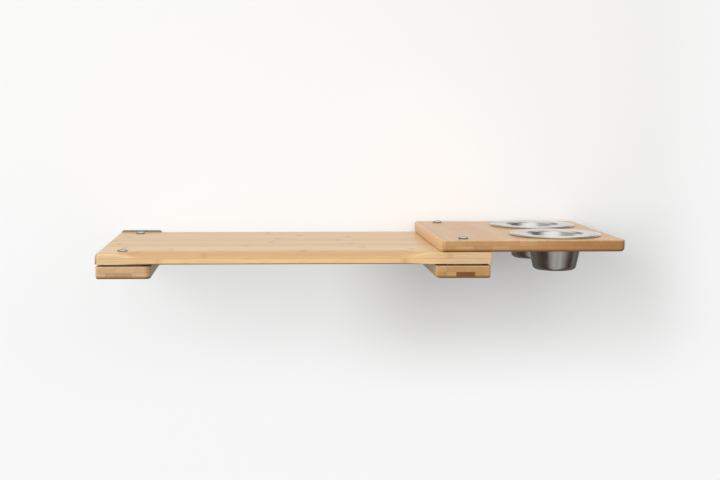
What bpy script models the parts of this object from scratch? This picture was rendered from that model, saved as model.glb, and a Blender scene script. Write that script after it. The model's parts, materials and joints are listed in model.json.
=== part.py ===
"""A wall-mounted cat feeding shelf: a bamboo plank on two steel wall brackets, with a bowl platform
on its right end. Metres, +Z up, +X to the right. The wall is the plane y = 0 and the shelf reaches
towards -Y. The origin is on the wall, midway between the brackets, level with the plank's underside."""

from math import cos, hypot, pi, radians, sin, sqrt

import bmesh
import bpy

MM = 0.001

# Clearances
seat_gap = 0.3 * MM
bolt_clearance = 0.3 * MM
screw_clearance = 0.3 * MM
bowl_clearance = 1.5 * MM

# Wall brackets: the studs behind the wall set how far apart they stand
stud_spacing = 406.4 * MM
steel_thickness = 1.8 * MM
plate_width = 56 * MM
plate_rise = 2.5 * MM
plate_drop = 13.4 * MM
plate_corner = 4 * MM
arm_setback = 12 * MM
arm_corner = 8 * MM
weld_leg = 2 * MM

# Shelf plank
plank_overhang = 30.5 * MM
plank_depth = 263 * MM
plank_thickness = 13.7 * MM
plank_left_arris = 5 * MM
plank_right_arris = 1.2 * MM
plank_back_arris = 1 * MM
plank_under_arris = 0.8 * MM

# The bevel planed along the plank's front edge, which runs out before both ends
bevel_depth = 30 * MM
bevel_height = 6.5 * MM
bevel_fullness = 0.25
bevel_left_stop = 22 * MM
bevel_to_platform = 11.5 * MM
bevel_runout = 34 * MM
bevel_under_arris = 2 * MM

# Bowl platform, flush with the plank's front and back
platform_width = 218.3 * MM
platform_bolt_inset = 29.2 * MM
platform_thickness = 13.8 * MM
platform_corner = 5.5 * MM
platform_top_arris = 1 * MM
platform_front_under_arris = 2.5 * MM
platform_left_under_arris = 1.2 * MM
platform_right_under_arris = 5 * MM

# Bracket blocks
block_width = 64.5 * MM
block_thickness = 14.7 * MM
block_end_inset = 0.9 * MM
block_front_inset = 0.5 * MM
block_corner = 2.5 * MM
block_inner_corner = 8 * MM
block_top_arris = 0.6 * MM
block_under_arris = 2.5 * MM

# Bolts with domed heads, and the threaded inserts that they screw into
bolt_radius = 3 * MM
bolt_head_radius = 6.35 * MM
bolt_head_height = 2.6 * MM
bolt_socket_flats = 4 * MM
bolt_socket_depth = 1.7 * MM
bolt_front_inset = 24.5 * MM
bolt_rear_inset = 18 * MM
bolt_engagement = 10 * MM
insert_radius = 5 * MM
insert_length = 12 * MM

# Screws that hold each block to its arm
block_screw_radius = 1.9 * MM
block_screw_head_radius = 3.6 * MM
block_screw_head_depth = 1.3 * MM
block_screw_length = 13 * MM
block_screw_front_inset = 70 * MM
block_screw_rear_inset = 70 * MM

# Screws into the wall, one above the arm and one below the block
wall_screw_radius = 2.4 * MM
wall_screw_head_radius = 4.2 * MM
wall_screw_head_depth = 1.3 * MM
wall_screw_length = 50 * MM
wall_screw_rise = 8.2 * MM

# Bowls, measured outside
rim_radius = 55.6 * MM
rim_lip_radius = 1.1 * MM
rim_dish = 0.6 * MM
mouth_radius = 35 * MM
mouth_fillet = 2.5 * MM
base_radius = 25.7 * MM
base_fillet = 6 * MM
bowl_depth = 42.5 * MM
bowl_sheet = 0.8 * MM
bowl_right_inset = 68.9 * MM
bowl_spacing = 129 * MM

# Places that follow from the sizes
plank_back = -(steel_thickness + 2 * seat_gap)
plank_front = plank_back - plank_depth
plank_left = -(stud_spacing / 2 + plank_overhang)
plank_right = stud_spacing / 2 + plank_overhang
plank_top = plank_thickness
arm_top = -seat_gap
arm_bottom = arm_top - steel_thickness
arm_front = plank_front + arm_setback
block_top = arm_bottom - seat_gap
block_bottom = block_top - block_thickness
block_front = plank_front + block_front_inset
block_outer_reach = plank_overhang - block_end_inset
block_back = -(steel_thickness + weld_leg + 2 * seat_gap)
plate_top = plank_top + plate_rise
plate_bottom = block_bottom - plate_drop
platform_bottom = plank_top + seat_gap
platform_top = platform_bottom + platform_thickness
platform_left = stud_spacing / 2 - platform_bolt_inset
platform_right = platform_left + platform_width
bevel_left = plank_left + bevel_left_stop
bevel_right = platform_left - bevel_to_platform
bolt_front = plank_front + bolt_front_inset
bolt_rear = plank_back - bolt_rear_inset
block_screw_front = plank_front + block_screw_front_inset
block_screw_rear = plank_back - block_screw_rear_inset
wall_screw_upper = arm_top + wall_screw_rise
wall_screw_lower = (block_bottom + plate_bottom) / 2
insert_top = block_top - seat_gap
bolt_tip = insert_top - bolt_engagement
bowl_x = platform_right - bowl_right_inset
bowl_middle = (plank_front + plank_back) / 2
bracket_sides = {"left": -1, "right": 1}

ARC_STEPS = 5
RUNOUT_STEPS = 8
ROUND_SIDES = 20
BOWL_SIDES = 48
OVERCUT = 2 * MM


def clear_scene():
    for thing in list(bpy.data.objects):
        bpy.data.objects.remove(thing, do_unlink=True)


def material(name, colour, roughness, metallic=0.0):
    made = bpy.data.materials.new(name)
    made.use_nodes = True
    shader = made.node_tree.nodes["Principled BSDF"]
    shader.inputs["Base Color"].default_value = (*colour, 1)
    shader.inputs["Roughness"].default_value = roughness
    shader.inputs["Metallic"].default_value = metallic
    return made


def put(name, bm, finish, smooth_angle=None):
    """Turn a bmesh into a named object, with its faces pointing out."""
    bmesh.ops.recalc_face_normals(bm, faces=bm.faces)
    mesh = bpy.data.meshes.new(name)
    bm.to_mesh(mesh)
    bm.free()
    if finish is not None:
        mesh.materials.append(finish)
    if smooth_angle is not None:
        mesh.shade_smooth()
        mesh.set_sharp_from_angle(angle=smooth_angle)
    made = bpy.data.objects.new(name, mesh)
    bpy.context.scene.collection.objects.link(made)
    return made


def skin(bm, rings):
    """Join rings of equally many points into one closed skin."""
    loops = [[bm.verts.new(point) for point in ring] for ring in rings]
    count = len(loops[0])
    for lower, upper in zip(loops, loops[1:]):
        for i in range(count):
            j = (i + 1) % count
            bm.faces.new((lower[i], lower[j], upper[j], upper[i]))
    bm.faces.new(list(reversed(loops[0])))
    bm.faces.new(loops[-1])


def turned(bm, profile, sides, centre, along="Z"):
    """Spin a profile of (radius, height) about an upright axis, or one that points along +Y."""
    verts = [bm.verts.new((radius, 0, height)) for radius, height in profile]
    edges = [bm.edges.new(pair) for pair in zip(verts, verts[1:])]
    if profile[0][0] > 0:
        edges.append(bm.edges.new((verts[-1], verts[0])))
    bmesh.ops.spin(
        bm, geom=verts + edges, axis=(0, 0, 1), cent=(0, 0, 0), angle=2 * pi, steps=sides, use_merge=True
    )
    new = [v for v in bm.verts if not v.tag]
    bmesh.ops.remove_doubles(bm, verts=new, dist=1e-6)
    new = [v for v in bm.verts if not v.tag]
    for vert in new:
        x, y, z = vert.co
        if along == "Y":
            x, y, z = x, z, -y
        vert.co = (x + centre[0], y + centre[1], z + centre[2])
        vert.tag = True


def cutter(name, bm):
    """A shape that is only subtracted from others."""
    made = put(name, bm, None)
    made.hide_render = True
    made.display_type = "WIRE"
    return made


def boolean(thing, tool, operation="DIFFERENCE"):
    cut = thing.modifiers.new(tool.name, "BOOLEAN")
    cut.operation = operation
    cut.solver = "EXACT"
    cut.object = tool


def corner_fall(distance, radius):
    """How far a round arris has dropped at a distance from the end."""
    if distance >= radius:
        return 0.0
    return radius - sqrt(max(radius**2 - (radius - distance) ** 2, 0.0))


def arris_levels(low, high, under_arrises, top_arris):
    """Heights and insets that round a board's arrises. The lower ones are given for its low x side,
    its high x side, and its front and back."""
    levels = []
    deepest = max(under_arrises)
    for step in range(ARC_STEPS):
        rise = deepest * (1 - cos(pi / 2 * step / (ARC_STEPS - 1)))
        levels.append((low + rise, [corner_fall(rise, arris) for arris in under_arrises]))
    for step in range(ARC_STEPS):
        drop = top_arris * (1 - cos(pi / 2 * (1 - step / (ARC_STEPS - 1))))
        levels.append((high - drop, [corner_fall(drop, top_arris)] * 3))
    return levels


def board_outline(x_low, x_high, y_low, y_high, corners, insets):
    """A rectangle with round corners, drawn in by the insets of its low x, high x and y sides.
    The corners run from low x, low y, turning left."""
    from_low, from_high, from_y = insets
    places = [
        (x_low, y_low, 1, 1, pi, from_low),
        (x_high, y_low, -1, 1, 1.5 * pi, from_high),
        (x_high, y_high, -1, -1, 0, from_high),
        (x_low, y_high, 1, -1, 0.5 * pi, from_low),
    ]
    points = []
    for (x, y, to_x, to_y, start, from_x), radius in zip(places, corners):
        centre_x, centre_y = x + to_x * radius, y + to_y * radius
        reach_x, reach_y = radius - from_x, radius - from_y
        for step in range(ARC_STEPS + 1):
            angle = start + pi / 2 * step / ARC_STEPS
            points.append((centre_x + reach_x * cos(angle), centre_y + reach_y * sin(angle)))
    return points


def board(bm, x_low, x_high, y_low, y_high, corners, levels, upright=False):
    """A flat board with round corners. An upright one stands against the wall, its outline in X and Z."""
    rings = []
    for height, insets in levels:
        outline = board_outline(x_low, x_high, y_low, y_high, corners, insets)
        rings.append([(x, height, y) if upright else (x, y, height) for x, y in outline])
    skin(bm, rings)


def round_hole(bm, x, y, low, high, radius, sides=ROUND_SIDES):
    turned(bm, [(0, low), (radius, low), (radius, high), (0, high)], sides, (x, y, 0))


def eased(share):
    """Goes smoothly from 0 to 1."""
    share = min(max(share, 0.0), 1.0)
    return share * share * (3 - 2 * share)


def blend(first, second, share):
    return first + (second - first) * share


def corner_curve(start, corner, end, fullness, steps):
    """A curve from start to end that bulges towards the corner: 0 is a straight line, 1 a full round."""
    middle = [blend((a + b) / 2, c, fullness) for a, b, c in zip(start, end, corner)]
    points = []
    for step in range(steps + 1):
        t = step / steps
        first, second, third = (1 - t) ** 2, 2 * t * (1 - t), t * t
        points.append([first * a + second * m + third * b for a, m, b in zip(start, middle, end)])
    return points


def plank_section(x):
    """The plank's outline in Y and Z at a place along its length."""
    share = eased((x - bevel_left) / bevel_runout) * eased((bevel_right - x) / bevel_runout)
    arris = plank_left_arris if x < bevel_left + bevel_runout else plank_right_arris
    fall = corner_fall(x - plank_left, plank_left_arris) + corner_fall(plank_right - x, plank_right_arris)
    back, front = plank_back - fall, plank_front + fall
    top, bottom = plank_top - fall, min(fall, plank_under_arris)
    depth = blend(arris, bevel_depth, share)
    height = blend(arris, bevel_height, share)
    fullness = blend(1.0, bevel_fullness, share)
    under = blend(plank_under_arris, bevel_under_arris, share)
    inner_back = back - plank_back_arris
    points = [(back, bottom + plank_back_arris), (back, top - plank_back_arris), (inner_back, top)]
    points += corner_curve((front + depth, top), (front, top), (front, top - height), fullness, 7)
    points += corner_curve((front, bottom + under), (front, bottom), (front + under, bottom), 1.0, 3)
    points.append((inner_back, bottom))
    return [(x, y, z) for y, z in points]


def plank_stations():
    """Places along the plank where its section changes."""
    places = []
    for step in range(ARC_STEPS + 1):
        share = 1 - cos(pi / 2 * step / ARC_STEPS)
        places += [plank_left + plank_left_arris * share, plank_right - plank_right_arris * share]
    for step in range(RUNOUT_STEPS + 1):
        share = step / RUNOUT_STEPS
        places += [bevel_left + bevel_runout * share, bevel_right - bevel_runout * share]
    return sorted(places)


def bolt_places(side):
    x = bracket_sides[side] * stud_spacing / 2
    return {"front": (x, bolt_front), "rear": (x, bolt_rear)}


def block_screw_places(side):
    x = bracket_sides[side] * stud_spacing / 2
    return {"front": (x, block_screw_front), "rear": (x, block_screw_rear)}


def wall_screw_places(side):
    x = bracket_sides[side] * stud_spacing / 2
    return {"upper": (x, wall_screw_upper), "lower": (x, wall_screw_lower)}


def make_plank(finish):
    bm = bmesh.new()
    skin(bm, [plank_section(x) for x in plank_stations()])
    plank = put("shelf_plank", bm, finish, radians(30))
    holes = bmesh.new()
    for side in bracket_sides:
        for x, y in bolt_places(side).values():
            round_hole(holes, x, y, -OVERCUT, plank_top + OVERCUT, bolt_radius + bolt_clearance)
    boolean(plank, cutter("plank_bolt_holes", holes))


def make_platform(finish):
    bm = bmesh.new()
    under_arrises = [platform_left_under_arris, platform_right_under_arris, platform_front_under_arris]
    levels = arris_levels(platform_bottom, platform_top, under_arrises, platform_top_arris)
    corners = [platform_corner] * 4
    board(bm, platform_left, platform_right, plank_front, plank_back, corners, levels)
    platform = put("bowl_platform", bm, finish, radians(30))
    holes = bmesh.new()
    low, high = platform_bottom - OVERCUT, platform_top + OVERCUT
    for x, y in bolt_places("right").values():
        round_hole(holes, x, y, low, high, bolt_radius + bolt_clearance)
    for y in bowl_centres().values():
        round_hole(holes, bowl_x, y, low, high, mouth_radius + bowl_clearance, BOWL_SIDES)
    boolean(platform, cutter("platform_holes", holes))


def make_block(side, finish):
    """A bamboo block under the arm, with a bigger round on its inner front corner."""
    outer = bracket_sides[side] * (stud_spacing / 2 + block_outer_reach)
    inner = outer - bracket_sides[side] * block_width
    left_front = block_inner_corner if side == "right" else block_corner
    right_front = block_inner_corner if side == "left" else block_corner
    corners = [left_front, right_front, block_corner, block_corner]
    bm = bmesh.new()
    levels = arris_levels(block_bottom, block_top, [block_under_arris] * 3, block_top_arris)
    board(bm, min(outer, inner), max(outer, inner), block_front, block_back, corners, levels)
    block = put(side + "_bracket_block", bm, finish, radians(30))
    holes = bmesh.new()
    for x, y in bolt_places(side).values():
        low = insert_top - insert_length - seat_gap
        round_hole(holes, x, y, low, block_top + OVERCUT, insert_radius + seat_gap)
    for x, y in block_screw_places(side).values():
        low = arm_top - block_screw_length - 2 * seat_gap
        round_hole(holes, x, y, low, block_top + OVERCUT, block_screw_radius + screw_clearance)
    boolean(block, cutter(side + "_block_holes", holes))


def countersunk(radius, head_radius, head_depth, length, clearance, over):
    """The profile of a countersunk screw, or of its hole when it has a clearance. The head is at 0."""
    shank, head = radius + clearance, head_radius + clearance
    profile = [(0, -length), (shank, -length), (shank, -head_depth), (head, 0)]
    if over > 0:
        profile.append((head, over))
    return profile + [(0, over)]


def block_screw_profile(length, clearance=0, over=0):
    return countersunk(
        block_screw_radius, block_screw_head_radius, block_screw_head_depth, length, clearance, over
    )


def wall_screw_profile(length, clearance=0, over=0):
    """The same for a wall screw, turned over so that its head faces away from the wall."""
    upright = countersunk(
        wall_screw_radius, wall_screw_head_radius, wall_screw_head_depth, length, clearance, over
    )
    return [(radius, -height) for radius, height in reversed(upright)]


def make_wall_bracket(side, finish):
    """An upright plate with an arm welded across it."""
    x = bracket_sides[side] * stud_spacing / 2
    low_x, high_x = x - plate_width / 2, x + plate_width / 2
    no_insets = [0, 0, 0]
    bm = bmesh.new()
    plate_levels = [(-steel_thickness, no_insets), (0, no_insets)]
    board(bm, low_x, high_x, plate_bottom, plate_top, [plate_corner] * 4, plate_levels, upright=True)
    bracket = put(side + "_wall_bracket", bm, finish)

    arm = bmesh.new()
    half_plate = -steel_thickness / 2
    arm_levels = [(arm_bottom, no_insets), (arm_top, no_insets)]
    back_corner = steel_thickness / 10
    corners = [arm_corner, arm_corner, back_corner, back_corner]
    board(arm, low_x, high_x, arm_front, half_plate, corners, arm_levels)
    boolean(bracket, cutter(side + "_arm", arm), "UNION")

    weld = bmesh.new()
    sunk = steel_thickness / 4
    near, far = -steel_thickness + sunk, -steel_thickness - weld_leg
    high, low = arm_bottom + sunk, arm_bottom - weld_leg
    section = [(near, high), (far, high), (far, arm_bottom), (-steel_thickness, low), (near, low)]
    ends = [low_x + plate_corner, high_x - plate_corner]
    skin(weld, [[(end, y, z) for y, z in section] for end in ends])
    boolean(bracket, cutter(side + "_weld", weld), "UNION")

    holes = bmesh.new()
    low, high = arm_bottom - OVERCUT, arm_top + OVERCUT
    for bolt_x, bolt_y in bolt_places(side).values():
        round_hole(holes, bolt_x, bolt_y, low, high, bolt_radius + bolt_clearance)
    block_hole = block_screw_profile(OVERCUT * 3, screw_clearance, OVERCUT)
    for screw_x, screw_y in block_screw_places(side).values():
        turned(holes, block_hole, ROUND_SIDES, (screw_x, screw_y, arm_top - seat_gap))
    wall_hole = wall_screw_profile(OVERCUT * 3, screw_clearance, OVERCUT)
    for screw_x, screw_z in wall_screw_places(side).values():
        turned(holes, wall_hole, ROUND_SIDES, (screw_x, -steel_thickness + seat_gap, screw_z), "Y")
    boolean(bracket, cutter(side + "_bracket_holes", holes))


def make_screws(side, finish):
    """The hidden screws of one bracket: two down into the block, and two into the wall."""
    block_screw = block_screw_profile(block_screw_length)
    for end, (x, y) in block_screw_places(side).items():
        bm = bmesh.new()
        turned(bm, block_screw, ROUND_SIDES, (x, y, arm_top - seat_gap))
        put(f"{side}_{end}_block_screw", bm, finish, radians(30))
    wall_screw = wall_screw_profile(wall_screw_length)
    for level, (x, z) in wall_screw_places(side).items():
        bm = bmesh.new()
        turned(bm, wall_screw, ROUND_SIDES, (x, -steel_thickness + seat_gap, z), "Y")
        put(f"{side}_{level}_wall_screw", bm, finish, radians(30))


def make_bolt(name, x, y, seat, finish):
    """A domed bolt with a hex socket. It reaches from its seat down into the insert."""
    base = seat + seat_gap
    edge_height = bolt_head_height * 0.3
    dome = bolt_head_height - edge_height
    sphere = (bolt_head_radius**2 + dome**2) / (2 * dome)
    profile = [(0, bolt_tip), (bolt_radius, bolt_tip), (bolt_radius, base), (bolt_head_radius, base)]
    for step in range(7):
        radius = bolt_head_radius * cos(pi / 2 * step / 6)
        rise = sqrt(sphere**2 - radius**2) - (sphere - dome)
        profile.append((radius if step < 6 else 0, base + edge_height + rise))
    bm = bmesh.new()
    turned(bm, profile, ROUND_SIDES, (x, y, 0))
    bolt = put(name, bm, finish, radians(30))
    socket = bmesh.new()
    top = base + bolt_head_height
    flats_to_corners = bolt_socket_flats / 2 / cos(pi / 6)
    round_hole(socket, x, y, top - bolt_socket_depth, top + OVERCUT, flats_to_corners, 6)
    boolean(bolt, cutter(name + "_socket", socket))


def make_insert(name, x, y, finish):
    bore = bolt_radius + bolt_clearance
    bottom = insert_top - insert_length
    profile = [(bore, bottom), (insert_radius, bottom), (insert_radius, insert_top), (bore, insert_top)]
    bm = bmesh.new()
    turned(bm, profile, ROUND_SIDES, (x, y, 0))
    put(name, bm, finish, radians(30))


def bowl_centres():
    return {"front": bowl_middle - bowl_spacing / 2, "rear": bowl_middle + bowl_spacing / 2}


def fillet(corner, before, after, radius, steps):
    """Points of an arc that rounds a corner of a profile."""

    def unit(point):
        dx, dz = point[0] - corner[0], point[1] - corner[1]
        size = hypot(dx, dz)
        return dx / size, dz / size

    a, b = unit(before), unit(after)
    dot = a[0] * b[0] + a[1] * b[1]
    half_cos = sqrt((1 + dot) / 2)
    half_sin = sqrt((1 - dot) / 2)
    reach = radius * half_cos / half_sin
    start = (corner[0] + a[0] * reach, corner[1] + a[1] * reach)
    end = (corner[0] + b[0] * reach, corner[1] + b[1] * reach)
    size = hypot(a[0] + b[0], a[1] + b[1])
    away = radius / half_sin
    centre = (corner[0] + (a[0] + b[0]) / size * away, corner[1] + (a[1] + b[1]) / size * away)
    points = []
    for step in range(steps + 1):
        share = step / steps
        x = blend(start[0], end[0], share) - centre[0]
        z = blend(start[1], end[1], share) - centre[1]
        stretch = radius / hypot(x, z)
        points.append((centre[0] + x * stretch, centre[1] + z * stretch))
    return points


def bowl_profile():
    """A bowl pressed from sheet: a tapered cup, a wide rim that dips towards it, and a rolled lip."""
    floor = platform_top - bowl_depth
    lip_low = platform_top + seat_gap
    lip_middle = lip_low + rim_lip_radius
    rim_under = lip_middle + rim_lip_radius - bowl_sheet
    mouth_under = rim_under - rim_dish
    lip_centre = rim_radius - rim_lip_radius
    mouth = (mouth_radius, mouth_under)
    base = (base_radius, floor)
    under = [(0, floor)]
    under += fillet(base, (0, floor), mouth, base_fillet, 3)
    under += fillet(mouth, base, (lip_centre, rim_under), mouth_fillet, 2)
    lip_start = lip_centre - rim_lip_radius
    under.append((lip_start, rim_under))
    lip = [(lip_start, lip_middle)]
    for step in range(5):
        angle = -pi + 1.5 * pi * (step + 1) / 5
        lip.append((lip_centre + rim_lip_radius * cos(angle), lip_middle + rim_lip_radius * sin(angle)))
    slope = hypot(mouth_radius - base_radius, mouth_under - floor) / (mouth_under - floor)
    inner_mouth = (mouth_radius - bowl_sheet * slope, mouth_under + bowl_sheet)
    inner_base = (base_radius - bowl_sheet, floor + bowl_sheet)
    inner_rim = (lip_centre, rim_under + bowl_sheet)
    inside = [(0, floor + bowl_sheet)]
    inside += fillet(inner_base, (0, inner_base[1]), inner_mouth, base_fillet - bowl_sheet, 3)
    inside += fillet(inner_mouth, inner_base, inner_rim, mouth_fillet + bowl_sheet, 2)
    return under + lip + list(reversed(inside))


def make_bowls(finish):
    for name, y in bowl_centres().items():
        bm = bmesh.new()
        turned(bm, bowl_profile(), BOWL_SIDES, (bowl_x, y, 0))
        put(name + "_bowl", bm, finish, radians(40))


def main():
    clear_scene()
    make_plank(material("plank_bamboo", (0.72, 0.50, 0.29), 0.45))
    make_platform(material("platform_bamboo", (0.68, 0.45, 0.25), 0.45))
    block_bamboo = material("block_bamboo", (0.60, 0.38, 0.20), 0.5)
    plate_steel = material("plate_steel", (0.16, 0.18, 0.20), 0.5, 1.0)
    screw_steel = material("screw_steel", (0.62, 0.62, 0.60), 0.35, 1.0)
    bolt_steel = material("bolt_steel", (0.70, 0.70, 0.69), 0.25, 1.0)
    insert_brass = material("insert_brass", (0.70, 0.53, 0.27), 0.35, 1.0)
    for side in bracket_sides:
        make_block(side, block_bamboo)
        make_wall_bracket(side, plate_steel)
        make_screws(side, screw_steel)
        seat = platform_top if side == "right" else plank_top
        for end, (x, y) in bolt_places(side).items():
            make_bolt(f"{side}_{end}_bolt", x, y, seat, bolt_steel)
            make_insert(f"{side}_{end}_insert", x, y, insert_brass)
    make_bowls(material("bowl_steel", (0.66, 0.66, 0.65), 0.22, 1.0))


main()
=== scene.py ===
# %% [markdown]
# # A wall-mounted cat feeding shelf
#
# A bamboo plank lies on two steel wall brackets. A thinner bamboo platform is bolted over its right
# end and reaches past it, and two pressed steel bowls drop into the platform.
#
# The solids already exist at their real size. This file loads them as a fixed frame, makes the fine
# surfaces that a solid for fitting and weighing doesn't have, and gives every piece its finish.
# Lengths are in metres, +Z is up, +X is to the right, and the wall is the plane y = 0.

import json
from math import atan2, cos, degrees, floor, hypot, pi, radians, sin, sqrt, tan

import bmesh
import bpy
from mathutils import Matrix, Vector, noise

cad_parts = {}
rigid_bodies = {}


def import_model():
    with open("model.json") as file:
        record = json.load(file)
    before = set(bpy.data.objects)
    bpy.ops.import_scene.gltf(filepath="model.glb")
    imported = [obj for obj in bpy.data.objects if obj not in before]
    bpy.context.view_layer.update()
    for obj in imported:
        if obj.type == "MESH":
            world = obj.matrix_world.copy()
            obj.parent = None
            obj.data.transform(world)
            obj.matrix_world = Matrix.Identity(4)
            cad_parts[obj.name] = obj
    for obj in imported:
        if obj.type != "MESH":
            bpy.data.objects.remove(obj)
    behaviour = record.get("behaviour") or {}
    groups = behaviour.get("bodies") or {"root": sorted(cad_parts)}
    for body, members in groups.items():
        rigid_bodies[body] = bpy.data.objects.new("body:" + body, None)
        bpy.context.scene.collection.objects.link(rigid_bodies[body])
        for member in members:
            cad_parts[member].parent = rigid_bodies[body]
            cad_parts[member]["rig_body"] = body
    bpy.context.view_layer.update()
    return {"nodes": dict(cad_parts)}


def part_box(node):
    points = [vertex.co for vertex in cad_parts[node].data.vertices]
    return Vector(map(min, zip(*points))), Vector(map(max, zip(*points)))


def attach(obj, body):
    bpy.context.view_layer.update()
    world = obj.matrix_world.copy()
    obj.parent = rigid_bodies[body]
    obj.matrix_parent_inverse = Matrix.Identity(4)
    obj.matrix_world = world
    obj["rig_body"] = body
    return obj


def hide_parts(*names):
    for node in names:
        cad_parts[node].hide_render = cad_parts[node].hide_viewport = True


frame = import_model()
MM = 0.001

# %% [markdown]
# ## Where things are
#
# Every fine surface is fitted to the solid that it stands for. So the places are read from the frame:
# a box for each board, and for each bolt, screw and bowl the axis that it was turned about. Reading
# them keeps this file right when the shelf is made in another size.

# %% Places read from the frame
SIDES = ("left", "right")
ENDS = ("front", "rear")


def axis_of(node):
    """The middle of a turned piece, seen from above."""
    low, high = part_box(node)
    return (low.x + high.x) / 2, (low.y + high.y) / 2


plank_low, plank_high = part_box("shelf_plank")
platform_low, platform_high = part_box("bowl_platform")
bolt_axes = {(side, end): axis_of(f"{side}_{end}_bolt") for side in SIDES for end in ENDS}
bowl_axes = {end: axis_of(end + "_bowl") for end in ENDS}
bolt_distance = bolt_axes["right", "front"][0] - bolt_axes["left", "front"][0]
print("Bolts stand", round(bolt_distance / MM, 1), "mm apart")

# %% [markdown]
# ## Arithmetic for shaders
#
# A material is a graph of nodes, and a formula such as `1 - mask * 0.5` takes three of them. Building
# such graphs by hand hides the formula. Here one small class stands for a value that leaves a node.
# Its operators add the Math nodes, so a finish reads as the sum that it is. One method, `node`, adds
# any other node: its settings first, then the numbers or links of its sockets.

# %% The signal class
class Signal:
    """A value, colour or vector on its way through a material's nodes."""

    def __init__(self, tree, socket=None):
        self.tree = tree
        self.socket = socket

    def node(self, kind, settings=None, inputs=None, output=0):
        made = self.tree.nodes.new(kind)
        for name, choice in (settings or {}).items():
            setattr(made, name, choice)
        for name, given in (inputs or {}).items():
            if isinstance(given, Signal):
                self.tree.links.new(given.socket, made.inputs[name])
            else:
                made.inputs[name].default_value = given
        return Signal(self.tree, made.outputs[output])

    def math(self, operation, *others):
        return self.node("ShaderNodeMath", {"operation": operation}, dict(enumerate((self, *others))))

    def __add__(self, other):
        return self.math("ADD", other)

    def __sub__(self, other):
        return self.math("SUBTRACT", other)

    def __rsub__(self, other):
        return self.math("MULTIPLY_ADD", -1.0, other)

    def __mul__(self, other):
        return self.math("MULTIPLY", other)

    def __truediv__(self, other):
        return self.math("DIVIDE", other)

    def __abs__(self):
        return self.math("ABSOLUTE")

    def __floor__(self):
        return self.math("FLOOR")

    def __lt__(self, other):
        return self.math("LESS_THAN", other)

    def __gt__(self, other):
        return self.math("GREATER_THAN", other)

    __radd__ = __add__
    __rmul__ = __mul__


print("Signal:", Signal.__doc__)

# %% [markdown]
# The same few steps come back in every finish: a soft threshold, a blend of two colours, and a vector
# taken apart or put together. Colours are blended by a Mix node, because a Math node would turn them
# grey. Colours are written as screen values from 0 to 255, which is how a maker reads them from a
# sample, and turned into the linear light that shaders use.

# %% Helpers for finishes
MIX_SHARE, MIX_FIRST, MIX_SECOND, MIX_COLOUR = 0, 6, 7, 2


def colour(red, green, blue):
    """Screen values as linear light. All are above the short straight part of the screen's curve."""
    return (*[((value / 255 + 0.055) / 1.055) ** 2.4 for value in (red, green, blue)], 1.0)


def soft_step(signal, start, end):
    """0 up to the start, 1 from the end on, and smooth between them. It falls if the start is higher."""
    limits = {"From Min": start, "From Max": end}
    if start > end:
        limits = {"From Min": end, "From Max": start, "To Min": 1.0, "To Max": 0.0}
    settings = {"interpolation_type": "SMOOTHSTEP"}
    return signal.node("ShaderNodeMapRange", settings, {"Value": signal, **limits})


def mixed(share, first, second, way="MIX"):
    """Goes from the first colour to the second with the share."""
    settings = {"data_type": "RGBA", "blend_type": way}
    inputs = {MIX_SHARE: share, MIX_FIRST: first, MIX_SECOND: second}
    signal = next(given for given in inputs.values() if isinstance(given, Signal))
    return signal.node("ShaderNodeMix", settings, inputs, MIX_COLOUR)


def parts(vector):
    """The X, Y and Z of a vector."""
    return [vector.node("ShaderNodeSeparateXYZ", {}, {0: vector}, axis) for axis in "XYZ"]


def vector_of(x, y, z):
    return x.node("ShaderNodeCombineXYZ", {}, {"X": x, "Y": y, "Z": z})


def grain_noise(place, scale, detail=2.0, roughness=0.5):
    """Smooth random values about 0.5. The place is a vector in millimetres."""
    inputs = {"Vector": place, "Scale": scale, "Detail": detail, "Roughness": roughness}
    return place.node("ShaderNodeTexNoise", {}, inputs)


def new_finish(name, plain_numbers):
    """A material with one Principled shader. Returns it, its shader and a signal to build from."""
    made = bpy.data.materials.new(name)
    made.use_nodes = True
    shader = made.node_tree.nodes["Principled BSDF"]
    for socket, number in plain_numbers.items():
        shader.inputs[socket].default_value = number
    return made, shader, Signal(made.node_tree)


def feed(shader, socket, signal):
    signal.tree.links.new(signal.socket, shader.inputs[socket])


def bumped(height, strength, distance):
    """A normal that leans with the height."""
    return height.node("ShaderNodeBump", {}, {"Strength": strength, "Distance": distance, "Height": height})


def millimetres(start):
    """Where a point lies in its own piece, in millimetres."""
    place = start.node("ShaderNodeTexCoord", output="Object")
    scale = {0: place, 1: (1 / MM, 1 / MM, 1 / MM)}
    return place.node("ShaderNodeVectorMath", {"operation": "MULTIPLY"}, scale)


print("A screen grey of 128 is", round(colour(128, 128, 128)[0], 3), "in linear light")

# %% [markdown]
# ## Laminated bamboo
#
# A bamboo board is glued up from flat strips about 22 mm wide, in two plies about 7 mm thick. Each strip
# has its own shade, and every 290 mm a knuckle, where the cane had a wall across it. Fibre bundles run
# the whole length, so a long face shows fine streaks, and the sawn end shows the same bundles as dots.
#
# A picture of bamboo wrapped round the board would show streaks on the sawn ends too. So the finish is
# a solid one instead: it works out the strip, the ply and the fibre at every point of the block of
# wood, and each face cuts through it and shows what a saw would. Its lengths are millimetres.
#
# The layout of the wood comes first: which strip a point is in, where that strip's knuckles are, and
# where glue shows between two strips or two plies.

# %% Strips, knuckles and glue lines
PLIES = 2
STRIPS_BEFORE = 60.0
KNUCKLE_SPACING = 290.0
KNUCKLE_HALF_WIDTH = 9.0
KNUCKLE_LINE = 1.8
KNUCKLE_BOW = 9.0
KNUCKLE_WAVER = 5.0
GLUE_BETWEEN_STRIPS = 0.35
GLUE_BETWEEN_PLIES = 0.4
OUTER_SKIN = 0.6


def random_of(seed, output="Value"):
    """Random numbers that are the same wherever the seed is."""
    return seed.node("ShaderNodeTexWhiteNoise", {"noise_dimensions": "3D"}, {"Vector": seed}, output)


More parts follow.
